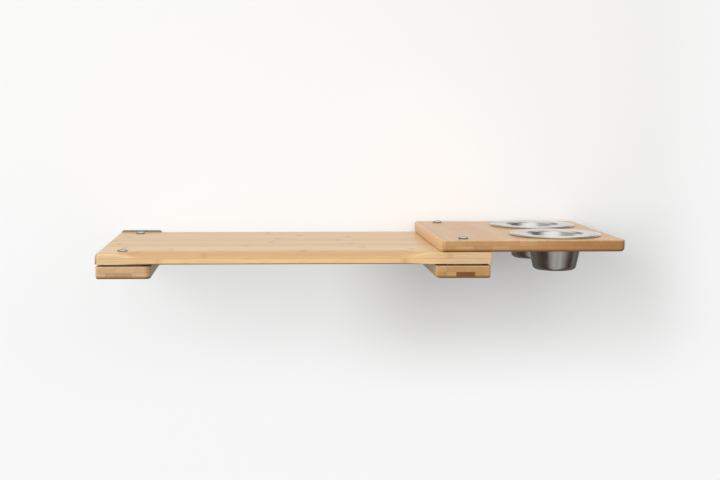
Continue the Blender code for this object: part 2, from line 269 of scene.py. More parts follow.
def strip_at(across, layer, board_seed, strip_width, first_joint):
    """How far across its strip a point is, from 0 to 1, and the strip's three random numbers."""
    shift = floor(random_of(vector_of(layer, board_seed, 0.0)) * 3.0) / 2.0
    cell = (across - first_joint) / strip_width + shift + STRIPS_BEFORE
    column = floor(cell)
    numbers = random_of(vector_of(column, layer + board_seed * 7.0, 0.0), "Color")
    return cell - column, parts(numbers)


def knuckle_at(along, in_strip, slide, fibre):
    """A soft dark band with a thin line in it, bowed across the strip."""
    count = along / KNUCKLE_SPACING + slide * 7.0
    distance = abs(count - floor(count) - 0.5) * KNUCKLE_SPACING
    distance = distance + (in_strip - 0.5) * (in_strip - 0.5) * KNUCKLE_BOW
    distance = distance + (fibre - 0.5) * KNUCKLE_WAVER
    band = soft_step(distance, KNUCKLE_HALF_WIDTH, 1.0)
    line = soft_step(distance, KNUCKLE_LINE, 0.4)
    return band * 0.65 + line * 0.35


def glue_at(in_strip, strip_width, in_ply, ply, height):
    """Thin lines between strips and between plies, but none on the board's two outer skins."""
    to_joint = (0.5 - abs(in_strip - 0.5)) * strip_width
    to_ply = (0.5 - abs(in_ply - 0.5)) * ply
    inside = (height > OUTER_SKIN) * (height < ply * PLIES - OUTER_SKIN)
    between_strips = soft_step(to_joint, GLUE_BETWEEN_STRIPS, 0.05) * 0.6
    between_plies = soft_step(to_ply, GLUE_BETWEEN_PLIES, 0.05) * inside
    return between_strips.math("MAXIMUM", between_plies)


def arris_distance(place, low, high):
    """How far a point on a board's skin is from the nearest arris."""
    reaches = []
    for signal, near, far in zip(parts(place), low, high):
        reaches.append((signal - near / MM).math("MINIMUM", far / MM - signal).math("ABSOLUTE"))
    x, y, z = reaches
    nearest = x.math("MINIMUM", y).math("MINIMUM", z)
    farthest = x.math("MAXIMUM", y).math("MAXIMUM", z)
    return x + y + z - nearest - farthest


print("Knuckles every", KNUCKLE_SPACING, "mm, in", PLIES, "plies")

# %% [markdown]
# Making and use leave marks: the planed bevel is a shade deeper, and arrises rub pale. Painted shade
# is blended in too, near the plank's ends, on lower arrises and at the foot of sawn faces. Each mark
# blends one shade in, and how strongly it does so is written once, in one list.

# %% Marks of making, and painted shade
STRENGTH = {
    "warm strips": 0.5,
    "fibres": 0.42,
    "bundles": 0.22,
    "sawn bundles": 0.3,
    "sawn strips": 0.22,
    "knuckles": 0.32,
    "glue": 0.42,
    "worn arrises": 0.25,
    # The last three are painted shade: on lower arrises and at the foot of sawn faces.
    "lower arris": 0.78,
    "lower right arris": 0.7,
    "lowest band": 0.6,
}


def deeper_bevel_and_end_shade(body, x, facing, low, high, shades, planed):
    """The planed bevel is a shade deeper, and near both ends all but the top get a painted shade."""
    on_bevel = soft_step(facing[2], 0.992, 0.978) * soft_step(facing[2], 0.75, 0.9)
    body = mixed(on_bevel * planed, body, shades["fibre"])
    from_end = (x - low.x / MM).math("MINIMUM", high.x / MM - x)
    end_shade_mask = soft_step(from_end, 80.0, 45.0) * soft_step(facing[2], 0.9, 0.6)
    return mixed(end_shade_mask, body, mixed(1.0, body, shades["painted end shade"], "MULTIPLY"))


def painted_under_shade(body, height, drift, facing, sawn, shades):
    """Painted shade on lower arrises that don't face the lamp, and at the foot of sawn faces."""
    not_underneath = soft_step(facing[2], -0.98, -0.85)
    shaded_lower_arris = soft_step(facing[2], -0.02, -0.4) * not_underneath
    from_left_on = soft_step(facing[0], -0.7, -0.3) * STRENGTH["lower arris"]
    body = mixed(shaded_lower_arris * from_left_on, body, shades["bundle"])
    at_right = soft_step(facing[0], 0.1, 0.5) * STRENGTH["lower right arris"]
    body = mixed(shaded_lower_arris * at_right, body, shades["glue"])
    shaded_lowest_band = soft_step(height + (drift - 0.5) * 1.5, 4.6, 1.8) * not_underneath
    return mixed(shaded_lowest_band * sawn * STRENGTH["lowest band"], body, shades["glue"])


print("Bamboo has", len(STRENGTH), "kinds of mark")

# %% [markdown]
# The grain is noise that is stretched along the cane: fine fibres, broad drifts of shade, and bundles.
# Where the saw cut across it, the wood is darker and takes up the lacquer.

# %% The bamboo finish
FIBRE_STRETCH, DRIFT_STRETCH, BUNDLE_STRETCH = 0.03, 0.012, 0.01
BUNDLE_SCALE = 1.05
THIN_LACQUER = {"lacquer": 0.15, "shine": 0.12}


def bamboo(
    name, node, grain, board_seed, strip_width, shades, first_joint=0.0, dark_strip=None,
    deep_right=0.0, planed=0.0, lacquer=0.27, shine=0.3,
):
    """Bamboo with its grain along X or Y. The seed picks its strips and the shades are its colours.

    A joint between two strips lies at first_joint. A dark strip is given by its centre, half width,
    lowest and highest point and strength. Sawn faces deepen towards the right by deep_right, and a
    planed bevel by planed. Joint and centre are in metres."""
    low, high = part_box(node)
    ply = (high.z - low.z) / MM / PLIES
    constants = {"IOR": 1.5, "Coat Roughness": 0.12, "Specular IOR Level": shine}
    made, shader, start = new_finish(name, constants)
    place = millimetres(start)
    x, y, z = parts(place)
    along, across = (x, y) if grain == "X" else (y, x)
    height = z - low.z / MM
    layer = floor(height / ply)
    in_ply = height / ply - layer
    in_strip, numbers = strip_at(across, layer, board_seed, strip_width, first_joint / MM)
    tone, slide, warmth = numbers

    fibre = grain_noise(vector_of(along * FIBRE_STRETCH, across, height), 1.1, 3.0, 0.6)
    drift = grain_noise(vector_of(along * DRIFT_STRETCH, across * 0.2, height * 0.2), 0.9, 2.0)
    bundle_place = vector_of(along * BUNDLE_STRETCH, across, height)
    bundle = start.node("ShaderNodeTexVoronoi", {}, {"Vector": bundle_place, "Scale": BUNDLE_SCALE})
    bundle_dot = soft_step(bundle, 0.42, 0.12) * (in_ply * 0.6 + 0.4)
    knuckle = knuckle_at(along, in_strip, slide, fibre)
    glue = glue_at(in_strip, strip_width, in_ply, ply, height)
    facing = parts(start.node("ShaderNodeTexCoord", output="Normal"))
    sawn = soft_step(abs(facing["XY".index(grain)]), 0.3, 0.85)
    wear = soft_step(arris_distance(place, low, high) + (drift - 0.5) * 2.5, 2.2, 0.3)

    body = mixed(soft_step(tone * 0.6 + drift * 0.4, 0.15, 0.85), shades["light"], shades["honey"])
    body = mixed(warmth * STRENGTH["warm strips"], body, shades["warm"])
    body = mixed(soft_step(fibre, 0.42, 0.72) * STRENGTH["fibres"], body, shades["fibre"])
    bundle_share = sawn * STRENGTH["sawn bundles"] + STRENGTH["bundles"]
    body = mixed(bundle_dot * bundle_share, body, shades["bundle"])
    body = mixed(sawn, body, mixed(1.0, body, shades["sawn"], "MULTIPLY"))
    body = mixed(soft_step(warmth, 0.5, 0.7) * sawn * STRENGTH["sawn strips"], body, shades["bundle"])
    if deep_right > 0:
        towards_right = soft_step(x, low.x / MM + 60, high.x / MM)
        body = mixed(towards_right * sawn * deep_right, body, shades["bundle"])
    if dark_strip is not None:
        centre, half_width, lowest, highest, darkness = dark_strip
        here = soft_step(abs(across - centre / MM), half_width + 0.25, half_width - 0.25)
        here = here * (height > lowest) * (height < highest)
        body = mixed(here * sawn * darkness, body, shades["dark"])
    body = mixed(knuckle * (1 - sawn * 0.8) * STRENGTH["knuckles"], body, shades["knuckle"])
    body = mixed(glue * STRENGTH["glue"], body, shades["glue"])
    body = mixed(wear * STRENGTH["worn arrises"], body, shades["worn"])
    # The bevel is deepened, and near the plank's ends a painted shade darkens all faces but the top.
    if planed > 0:
        body = deeper_bevel_and_end_shade(body, x, facing, low, high, shades, planed)
    # Painted shade on lower arrises and at the foot of sawn faces.
    body = painted_under_shade(body, height, drift, facing, sawn, shades)

    feed(shader, "Base Color", body)
    feed(shader, "Roughness", (fibre - 0.5) * 0.16 + sawn * 0.14 + wear * 0.08 + 0.4)
    feed(shader, "Coat Weight", (1 - sawn * 0.8) * (1 - wear * 0.15) * lacquer)
    relief = fibre * 0.5 + bundle_dot * 0.3 - glue * 0.8 + knuckle * 0.4
    feed(shader, "Normal", bumped(relief, 0.5, 0.12 * MM))
    return made


print("Bamboo finish ready, with bundles at scale", BUNDLE_SCALE)

# %% [markdown]
# All boards share one set of shades, and each names only those in which it differs: the platform is
# redder, the right block browner, and the left block paler.

# %% Shades of the boards
plank_shades = {
    "light": colour(233, 203, 151),
    "honey": colour(216, 177, 121),
    "warm": colour(222, 174, 122),
    "fibre": colour(196, 150, 96),
    # bundle also serves as the painted shade on lower arrises
    "bundle": colour(160, 112, 64),
    "sawn": colour(216, 200, 204),
    "knuckle": colour(150, 106, 58),
    # glue also serves as the painted shade on right-facing lower arrises and at the foot of sawn faces
    "glue": colour(126, 84, 44),
    "worn": colour(240, 212, 170),
    # a painted shade, multiplied into the plank's faces near its ends
    "painted end shade": colour(239, 240, 253),
}
platform_shades = {
    **plank_shades,
    "light": colour(222, 184, 138),
    "honey": colour(206, 160, 108),
    "warm": colour(214, 160, 112),
    "sawn": colour(228, 223, 218),
}
right_block_shades = {
    **plank_shades,
    "light": colour(224, 190, 140),
    "honey": colour(206, 166, 112),
    "sawn": colour(220, 213, 208),
    "dark": colour(112, 72, 40),
}
left_block_shades = {
    **plank_shades,
    "light": colour(228, 198, 152),
    "honey": colour(212, 174, 124),
    "sawn": colour(232, 232, 246),
    "dark": colour(150, 128, 92),
}
print("Shades of bamboo:", ", ".join(plank_shades))

# %% [markdown]
# Each block's sawn front has one dark strip. The places of that strip and of the joints are measured
# from the boards' sides.

# %% The four boards' bamboo
PLANK_STRIP, PLATFORM_STRIP, BLOCK_STRIP = 21.5, 21.6, 22.3
left_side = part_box("left_bracket_block")[0].x
right_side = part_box("right_bracket_block")[1].x
left_dark_strip = (left_side + 27 * MM, 15.5, 1.5, 7.2, 0.5)
right_dark_strip = (right_side - 29.9 * MM, 11.1, 1.7, 7.5, 0.92)
platform_joint = platform_high.x - 61.3 * MM
right_joint = right_side - 18.7 * MM

plank_bamboo = bamboo("plank_bamboo", "shelf_plank", "X", 12.0, PLANK_STRIP, plank_shades, planed=0.55)
platform_bamboo = bamboo(
    "platform_bamboo", "bowl_platform", "Y", 15.0, PLATFORM_STRIP, platform_shades,
    platform_joint, deep_right=0.9,
)
left_block_bamboo = bamboo(
    "left_block_bamboo", "left_bracket_block", "Y", 17.0, BLOCK_STRIP, left_block_shades,
    left_side, left_dark_strip, **THIN_LACQUER,
)
right_block_bamboo = bamboo(
    "right_block_bamboo", "right_bracket_block", "Y", 18.0, BLOCK_STRIP, right_block_shades,
    right_joint, right_dark_strip, **THIN_LACQUER,
)
for finish in (plank_bamboo, platform_bamboo, left_block_bamboo, right_block_bamboo):
    print(finish.name, "has", len(finish.node_tree.nodes), "nodes")

# %% [markdown]
# ## Pressed stainless steel
#
# The bowls are pressed from sheet and then polished while they spin, which leaves hair-fine rings about
# the axis. Reflections stretch across those rings, so the shader is anisotropic, and each bowl is
# modelled about its own axis: then one finish can work out the rings for both. Handling adds faint
# smudges, which only change how blurred the reflections are.

# %% Metal finishes
RINGS_PER_MILLIMETRE = 3.2


def spun_steel(name):
    """Stainless steel polished on a lathe, with rings about the piece's own Z axis."""
    constants = {"Metallic": 1.0, "Anisotropic": 0.55, "IOR": 2.5}
    made, shader, start = new_finish(name, constants)
    place = millimetres(start)
    x, y, z = parts(place)
    radius = (x * x + y * y).math("SQRT")
    outwards = radius * RINGS_PER_MILLIMETRE + x * 0.01
    upwards = z * RINGS_PER_MILLIMETRE + y * 0.01
    rings = grain_noise(vector_of(outwards, upwards, 0.0), 1.0, 3.0, 0.7)
    smudge = grain_noise(place, 0.045, 4.0, 0.55)
    tint = mixed(smudge, colour(222, 221, 217), colour(236, 235, 231))
    feed(shader, "Base Color", tint)
    feed(shader, "Roughness", (rings - 0.5) * 0.14 + soft_step(smudge, 0.45, 0.7) * 0.09 + 0.17)
    feed(shader, "Normal", bumped(rings, 0.12, 0.02 * MM))
    return made


def plated_steel(name, light, dark, roughness, scale, painted_seat_shade=None):
    """Plated steel or turned brass: a fine crystal mottle and small scratches. A painted shade, for a
    shadow under a bolt head's edge, darkens it from its upper height down to its lower one, beyond its
    radius."""
    made, shader, start = new_finish(name, {"Metallic": 1.0})
    place = millimetres(start)
    mottle = grain_noise(place, scale, 4.0, 0.65)
    patches = grain_noise(place, scale * 0.12, 2.0)
    x, y, z = parts(place)
    scratches = grain_noise(vector_of(x * 2.6, y * 0.12, z * 2.6), 1.0, 2.0, 0.8)
    tint = mixed(mottle * 0.6 + patches * 0.4, dark, light)
    if painted_seat_shade is not None:
        upper, lower, inner_radius = painted_seat_shade
        radius = (x * x + y * y).math("SQRT")
        # Painted shadow under the head's edge, where it sits on the board.
        seat_shade_mask = soft_step(z + (patches - 0.5) * 0.2, upper, lower) * (radius > inner_radius)
        tint = mixed(seat_shade_mask * 0.85, tint, colour(70, 50, 36))
    feed(shader, "Base Color", tint)
    feed(shader, "Roughness", (mottle - 0.5) * 0.2 + soft_step(scratches, 0.6, 0.75) * 0.12 + roughness)
    feed(shader, "Normal", bumped(mottle + scratches * 0.5, 0.25, 0.03 * MM))
    return made


bowl_steel = spun_steel("bowl_steel")
fastener_steel = plated_steel("fastener_steel", colour(214, 214, 212), colour(176, 177, 176), 0.3, 0.9)
# The bolts get a painted shadow under the edge of each head.
bolt_steel = plated_steel(
    "bolt_steel", colour(244, 243, 240), colour(218, 217, 214), 0.26, 0.9, painted_seat_shade=(0.9, 0.5, 4.0)
)
bracket_steel = plated_steel("bracket_steel", colour(180, 178, 176), colour(138, 137, 137), 0.4, 0.35)
insert_brass = plated_steel("insert_brass", colour(216, 178, 104), colour(180, 138, 70), 0.32, 0.8)
print("Metal finishes:", bowl_steel.name, fastener_steel.name, bracket_steel.name, insert_brass.name)

# %% [markdown]
# ## Turning a mesh into a piece
#
# Every fine piece goes through the same last steps: its faces are turned to point out, it is shaded
# smooth except where two faces meet sharply, it rides on a body of the frame, and it hides the solid
# that it stands for. Large flat faces next to a small round would shade as if they were bent, so the
# Weighted Normal modifier lets the larger face decide.

# %% From mesh to piece
def new_object(name, data):
    """An object that is in the scene."""
    made = bpy.data.objects.new(name, data)
    bpy.context.scene.collection.objects.link(made)
    return made


def object_of(name, bm):
    """An object that shows a finished mesh."""
    mesh = bpy.data.meshes.new(name)
    bm.to_mesh(mesh)
    bm.free()
    return new_object(name, mesh)


def as_piece(name, bm, material, node, origin=(0, 0, 0), smooth_angle=35, tools=()):
    """Make the piece, cut its holes, and let it ride and stand for the frame's node."""
    bmesh.ops.recalc_face_normals(bm, faces=bm.faces)
    piece = object_of(name, bm)
    piece.location = origin
    for tool in tools:
        cut = piece.modifiers.new("hole", "BOOLEAN")
        cut.solver = "EXACT"
        cut.object = tool
    if tools:
        bpy.context.view_layer.update()
        shaped = bpy.data.meshes.new_from_object(piece.evaluated_get(bpy.context.evaluated_depsgraph_get()))
        piece.modifiers.clear()
        piece.data = shaped
        for tool in tools:
            bpy.data.objects.remove(tool)
    piece.data.materials.clear()
    piece.data.materials.append(material)
    piece.data.shade_smooth()
    piece.data.set_sharp_from_angle(angle=radians(smooth_angle))
    weighted = piece.modifiers.new("weighted normals", "WEIGHTED_NORMAL")
    weighted.keep_sharp = True
    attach(piece, frame["nodes"][node]["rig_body"])
    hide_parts(node)
    return piece


# %% [markdown]
# Shapes come about in three ways: rings of points are joined into a skin, a profile is spun about an
# axis, and round holes are drilled.

# %% Skins, turned shapes and holes
HOLE_MARGIN = 2 * MM
SMALL_HOLE_STEPS = 32


def circle_angles(count):
    return [2 * pi * i / count for i in range(count)]


def skin(bm, rings):
    """Join rings of equally many points into one closed skin."""
    loops = [[bm.verts.new(point) for point in ring] for ring in rings]
    count = len(loops[0])
    for lower, upper in zip(loops, loops[1:]):
        for i in range(count):
            j = (i + 1) % count
            bm.faces.new((lower[i], lower[j], upper[j], upper[i]))
    bm.faces.new(list(reversed(loops[0])))
    bm.faces.new(loops[-1])


def turn(bm, profile, steps):
    """Spin a profile of radius and height about the Z axis."""
    verts = [bm.verts.new((radius, 0, height)) for radius, height in profile]
    edges = [bm.edges.new(pair) for pair in zip(verts, verts[1:])]
    once_round = {"angle": 2 * pi, "steps": steps, "use_merge": True}
    bmesh.ops.spin(bm, geom=verts + edges, axis=(0, 0, 1), cent=(0, 0, 0), **once_round)
    bmesh.ops.remove_doubles(bm, verts=bm.verts, dist=1e-6)


def drill(places, low, high, radius, steps):
    """A tool that cuts round holes."""
    bm = bmesh.new()
    for x, y in places:
        middle = Vector((x, y, (low + high) / 2))
        made = bmesh.ops.create_cone(
            bm, cap_ends=True, segments=steps, radius1=radius, radius2=radius, depth=high - low
        )
        bmesh.ops.translate(bm, verts=made["verts"], vec=middle)
    return object_of("drill", bm)


def drill_through(places, low, high, radius, steps):
    """A tool that cuts holes right through a board."""
    return drill(places, low - HOLE_MARGIN, high + HOLE_MARGIN, radius, steps)


print("Drills reach", HOLE_MARGIN / MM, "mm past a board")

# %% [markdown]
# ## Boards
#
# The platform and the two blocks are flat boards with rounded corners and sanded arrises. They could be
# boxes with a Bevel modifier, but a bevel has one width, and here the top arris is crisp while the one
# underneath is soft, and softest at the platform's free end, where a hand or a paw meets it. So the
# outline is drawn at several heights, each side drawn in by its own amount, and the rings are joined.

# %% Rounded boards
ARC_STEPS = 8


def corner_fall(distance, radius):
    """How far a round arris has dropped at a distance from its end."""
    reach = max(radius - distance, 0.0)
    return radius - sqrt(radius**2 - reach**2)


def arris_levels(low, high, under_arrises, top_arris):
    """Heights and insets that round a board's arrises. The lower ones are given for its low x side,
    its high x side, and its front and back."""
    levels = []
    for step in range(ARC_STEPS + 1):
        rise = max(under_arrises) * (1 - cos(pi / 2 * step / ARC_STEPS))
        levels.append((low + rise, [corner_fall(rise, arris) for arris in under_arrises]))
    for step in range(ARC_STEPS, -1, -1):
        drop = top_arris * (1 - cos(pi / 2 * step / ARC_STEPS))
        levels.append((high - drop, [corner_fall(drop, top_arris)] * 3))
    return levels


def board_ring(low, high, corners, height, insets):
    """The board's outline at one height. The corners run from low x, low y, turning left."""
    from_low, from_high, from_y = insets
    turns = [
        (low.x, low.y, 1, 1, pi, from_low),
        (high.x, low.y, -1, 1, 1.5 * pi, from_high),
        (high.x, high.y, -1, -1, 0, from_high),
        (low.x, high.y, 1, -1, 0.5 * pi, from_low),
    ]
    ring = []
    for (x, y, to_x, to_y, start, from_x), radius in zip(turns, corners):
        middle_x, middle_y = x + to_x * radius, y + to_y * radius
        for step in range(ARC_STEPS + 1):
            angle = start + pi / 2 * step / ARC_STEPS
            across, along = (radius - from_x) * cos(angle), (radius - from_y) * sin(angle)
            ring.append((middle_x + across, middle_y + along, height))
    return ring


def board(name, node, material, corners, under_arrises, top_arris, tools):
    low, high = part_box(node)
    bm = bmesh.new()
    levels = arris_levels(low.z, high.z, under_arrises, top_arris)
    skin(bm, [board_ring(low, high, corners, height, insets) for height, insets in levels])
    made = as_piece(name, bm, material, node, tools=tools)
    print(name, "has", len(made.data.polygons), "faces")


print("An arris is rounded in", ARC_STEPS, "steps")

# %% [markdown]
# The platform has a hole for each of its two bolts and a cut-out for each bowl.

# %% Platform
BOLT_HOLE_RADIUS = 3.3 * MM
CUTOUT_RADIUS = 36.5 * MM
CUTOUT_STEPS = 96
PLATFORM_CORNER = 5.5 * MM
PLATFORM_TOP_ARRIS = 1 * MM
PLATFORM_UNDER_ARRISES = [1.2 * MM, 5 * MM, 2.5 * MM]
right_bolt_axes = [bolt_axes["right", end] for end in ENDS]
platform_tools = [
    drill_through(right_bolt_axes, platform_low.z, platform_high.z, BOLT_HOLE_RADIUS, SMALL_HOLE_STEPS),
    drill_through(bowl_axes.values(), platform_low.z, platform_high.z, CUTOUT_RADIUS, CUTOUT_STEPS),
]
board(
    "platform_board", "bowl_platform", platform_bamboo,
    [PLATFORM_CORNER] * 4, PLATFORM_UNDER_ARRISES, PLATFORM_TOP_ARRIS, platform_tools,
)

# %% [markdown]
# The blocks are crisp on top, where the steel arms lie on them, and their inner front corners are
# rounder. Holes from above take the threaded inserts.

# %% Blocks
INSERT_HOLE_RADIUS = 5.3 * MM
INSERT_HOLE_DEPTH = 12.6 * MM
BLOCK_CORNER = 2.5 * MM
BLOCK_INNER_CORNER = 8 * MM
BLOCK_UNDER_ARRIS = 2.5 * MM
BLOCK_TOP_ARRIS = 0.3 * MM
block_materials = {"left": left_block_bamboo, "right": right_block_bamboo}
for side in SIDES:
    block_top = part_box(side + "_bracket_block")[1].z
    corners = [BLOCK_CORNER] * 4
    corners[1 if side == "left" else 0] = BLOCK_INNER_CORNER
    insert_holes = drill(
        [bolt_axes[side, end] for end in ENDS], block_top - INSERT_HOLE_DEPTH, block_top + HOLE_MARGIN,
        INSERT_HOLE_RADIUS, SMALL_HOLE_STEPS,
    )
    board(
        side + "_block_board", side + "_bracket_block", block_materials[side],
        corners, [BLOCK_UNDER_ARRIS] * 3, BLOCK_TOP_ARRIS, [insert_holes],
    )

# %% [markdown]
# ## The plank and its bevel
#
# Between its two supports the plank's front edge is planed to a long, slightly full bevel, which makes
# the board look thinner and is kinder to a cat's paws. The bevel runs out before both ends. The free
# left end is well rounded, and the right end, which the platform covers, is crisp. A Boolean cut would
# leave a hard end to the bevel, so the plank is lofted: its cross-section is drawn at many places along
# its length, and only the bevel's share changes from one to the next.

# %% Curves
def eased(share):
    """Goes smoothly from 0 to 1."""
    share = min(max(share, 0.0), 1.0)
    return share * share * (3 - 2 * share)


def blend(first, second, share):
    return first + (second - first) * share


def corner_curve(start, corner, end, fullness, steps):
    """A curve from start to end that bulges towards the corner: 0 is a straight line, 1 a full round."""
    middle = [blend((a + b) / 2, c, fullness) for a, b, c in zip(start, end, corner)]
    points = []
    for step in range(steps + 1):
        t = step / steps
        first, second, third = (1 - t) ** 2, 2 * t * (1 - t), t * t
        points.append([first * a + second * m + third * b for a, m, b in zip(start, middle, end)])
    return points


print("A quarter of the way, eased:", eased(0.25))

# %% [markdown]
# At each place along the plank a share says how much of the bevel is there. It grows from 0 at the
# bevel's left end to 1 and shrinks again before the platform. The plane left the bevel a little uneven.

# %% The plank's section
BEVEL_DEPTH = 30 * MM
BEVEL_HEIGHT = 6.5 * MM
BEVEL_FULLNESS = 0.25
BEVEL_UNDER_ARRIS = 2 * MM
BEVEL_RUNOUT = 34 * MM
BEVEL_LEFT_STOP = 22 * MM
BEVEL_TO_PLATFORM = 11.5 * MM
BEVEL_WAVER = 0.35 * MM
WAVERS_PER_METRE = 22
PLANK_LEFT_ARRIS = 5 * MM
PLANK_RIGHT_ARRIS = 1.2 * MM
PLANK_UNDER_ARRIS = 0.3 * MM
PLANK_BACK_ARRIS = 1 * MM
bevel_left = plank_low.x + BEVEL_LEFT_STOP
bevel_right = platform_low.x - BEVEL_TO_PLATFORM


def plank_section(x):
    """The plank's outline in Y and Z at a place along its length."""
    arris = PLANK_LEFT_ARRIS if x < bevel_left + BEVEL_RUNOUT else PLANK_RIGHT_ARRIS
    fall = corner_fall(x - plank_low.x, PLANK_LEFT_ARRIS) + corner_fall(plank_high.x - x, PLANK_RIGHT_ARRIS)
    share = eased((x - bevel_left) / BEVEL_RUNOUT) * eased((bevel_right - x) / BEVEL_RUNOUT)
    uneven = noise.noise(Vector((x * WAVERS_PER_METRE, 0, 0))) * BEVEL_WAVER * share
    back, front = plank_high.y - fall, plank_low.y + fall
    top, bottom = plank_high.z - fall, plank_low.z + min(fall, PLANK_UNDER_ARRIS)
    depth = blend(arris, BEVEL_DEPTH, share) + uneven
    height = blend(arris, BEVEL_HEIGHT, share) + uneven / 2
    fullness = blend(1.0, BEVEL_FULLNESS, share)
    under = blend(PLANK_UNDER_ARRIS, BEVEL_UNDER_ARRIS, share)
    inner_back = back - PLANK_BACK_ARRIS
    points = [(back, bottom + PLANK_BACK_ARRIS), (back, top - PLANK_BACK_ARRIS), (inner_back, top)]
    points += corner_curve((front + depth, top), (front, top), (front, top - height), fullness, 12)
    points += corner_curve((front, bottom + under), (front, bottom), (front + under, bottom), 1.0, 5)
    points.append((inner_back, bottom))
    return [(x, y, z) for y, z in points]


print("The bevel runs from", round(bevel_left / MM, 1), "to", round(bevel_right / MM, 1), "mm")

# %% [markdown]
# The sections stand closer together at both ends, where the arrises turn.

# %% Plank
STATION_SPACING = 4 * MM
middle_left, middle_right = plank_low.x + PLANK_LEFT_ARRIS, plank_high.x - PLANK_RIGHT_ARRIS
middle_count = round((middle_right - middle_left) / STATION_SPACING)
stations = [blend(middle_left, middle_right, i / middle_count) for i in range(1, middle_count)]
for step in range(ARC_STEPS + 1):
    share = 1 - cos(pi / 2 * step / ARC_STEPS)
    stations += [plank_low.x + PLANK_LEFT_ARRIS * share, plank_high.x - PLANK_RIGHT_ARRIS * share]
stations.sort()
plank_mesh = bmesh.new()
skin(plank_mesh, [plank_section(x) for x in stations])
plank_holes = drill_through(
    bolt_axes.values(), plank_low.z, plank_high.z, BOLT_HOLE_RADIUS, SMALL_HOLE_STEPS
)
plank_board = as_piece(
    "plank_board", plank_mesh, plank_bamboo, "shelf_plank", tools=[plank_holes]
)
print("Plank board:", len(stations), "sections,", len(plank_board.data.polygons), "faces")

# %% [markdown]
# ## The bowls
#
# Each bowl is one sheet, pressed into a tapered cup with a wide rim, and its edge is rolled under into a
# bead so that no sharp sheet is left. It is a turned shape, so half of its section is drawn and spun.
# The section is one closed loop: out along the underside, round the bead, and back along the inside.
# The floor is pressed up a little in its middle, which keeps a real bowl from rocking.

# %% A bowl's section
SHEET = 0.8 * MM
LIP_RADIUS = 1.1 * MM
RIM_DISH = 0.6 * MM
MOUTH_RADIUS = 35 * MM
MOUTH_FILLET = 2.5 * MM
BASE_RADIUS = 25.7 * MM
BASE_FILLET = 6 * MM
FLOOR_PANEL_RADIUS = 15.5 * MM
FLOOR_PANEL_RISE = 0.9 * MM
FLOOR_PANEL_SLOPE = 2.2 * MM
FLOOR_PANEL_FILLET = 2 * MM
BEAD_STEPS = 14


def fillet(corner, before, after, radius, steps):
    """Points of an arc that rounds a corner of a section."""
    to_before = (Vector(before) - Vector(corner)).normalized()
    to_after = (Vector(after) - Vector(corner)).normalized()
    half = to_before.angle(to_after) / 2
    reach = radius / tan(half)
    centre = Vector(corner) + (to_before + to_after).normalized() * (radius / sin(half))
    first = Vector(corner) + to_before * reach - centre
    last = Vector(corner) + to_after * reach - centre
    arms = [first.slerp(last, step / steps).normalized() * radius for step in range(steps + 1)]
    return [tuple(centre + arm) for arm in arms]


def bowl_section(rim_radius, top, bottom):
    """Half of the bowl's section, as radius and height."""
    lip_middle = top - LIP_RADIUS
    lip_centre = rim_radius - LIP_RADIUS
    rim_under = top - SHEET
    mouth_under = rim_under - RIM_DISH
    panel = [
        (0, bottom + FLOOR_PANEL_RISE),
        (FLOOR_PANEL_RADIUS - FLOOR_PANEL_SLOPE, bottom + FLOOR_PANEL_RISE),
        (FLOOR_PANEL_RADIUS, bottom),
    ]
    mouth, base = (MOUTH_RADIUS, mouth_under), (BASE_RADIUS, bottom)
    under = [panel[0]]
    under += fillet(panel[1], panel[0], panel[2], FLOOR_PANEL_FILLET, 4)
    under += fillet(panel[2], panel[1], base, FLOOR_PANEL_FILLET, 4)
    under += fillet(base, panel[2], mouth, BASE_FILLET, 12)
    under += fillet(mouth, base, (lip_centre, rim_under), MOUTH_FILLET, 8)
    lip_start = lip_centre - LIP_RADIUS
    bead = [(lip_start, rim_under), (lip_start, lip_middle)]
    for step in range(1, BEAD_STEPS + 1):
        angle = -pi + 1.5 * pi * step / BEAD_STEPS
        bead.append((lip_centre + LIP_RADIUS * cos(angle), lip_middle + LIP_RADIUS * sin(angle)))
    slope = hypot(MOUTH_RADIUS - BASE_RADIUS, mouth_under - bottom) / (mouth_under - bottom)
    inner_mouth = (MOUTH_RADIUS - SHEET * slope, mouth_under + SHEET)
    inner_base = (BASE_RADIUS - SHEET, bottom + SHEET)
    inside = fillet(inner_mouth, (lip_centre, top), inner_base, MOUTH_FILLET + SHEET, 8)
    inside += fillet(inner_base, inner_mouth, (0, inner_base[1]), BASE_FILLET - SHEET, 12)
    inner_panel = [(radius, height + SHEET) for radius, height in panel]
    inside += fillet(inner_panel[2], inner_base, inner_panel[1], FLOOR_PANEL_FILLET, 4)
    inside += fillet(inner_panel[1], inner_panel[2], inner_panel[0], FLOOR_PANEL_FILLET, 4)
    return under + bead + inside + [inner_panel[0]]


print("Sheet of", SHEET / MM, "mm")

# %% [markdown]
# Both bowls have the same section. Each is spun about its own axis and then set into its cut-out.

# %% Bowls
BOWL_TURNS = 160
for end, (x, y) in bowl_axes.items():
    low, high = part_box(end + "_bowl")
    bm = bmesh.new()
    turn(bm, bowl_section((high.x - low.x) / 2, high.z, low.z), BOWL_TURNS)
    bowl = as_piece(end + "_spun_bowl", bm, bowl_steel, end + "_bowl", (x, y, 0), 50)
    print(end, "bowl:", len(bowl.data.polygons), "faces, rim", round((high.x - low.x) / MM, 1), "mm across")

# %% [markdown]
# ## Bolts
#
# Button-head bolts hold the boards down. The head is a low dome with a hexagonal socket, and a thin
# shadow gap under its edge is what makes it read as a separate piece. The dome is turned down to a ring
# just outside the socket. The ring is then joined to the hexagon, and the hexagon is pushed down.

# %% A bolt's head and socket
HEAD_EDGE_SHARE = 0.3
SOCKET_FLATS = 4 * MM
SOCKET_DEPTH = 1.7 * MM
SOCKET_LAND = 2.9 * MM
BOLT_SHANK_RADIUS = 3 * MM
BOLT_CHAMFER = 0.4 * MM
DOME_STEPS = 11


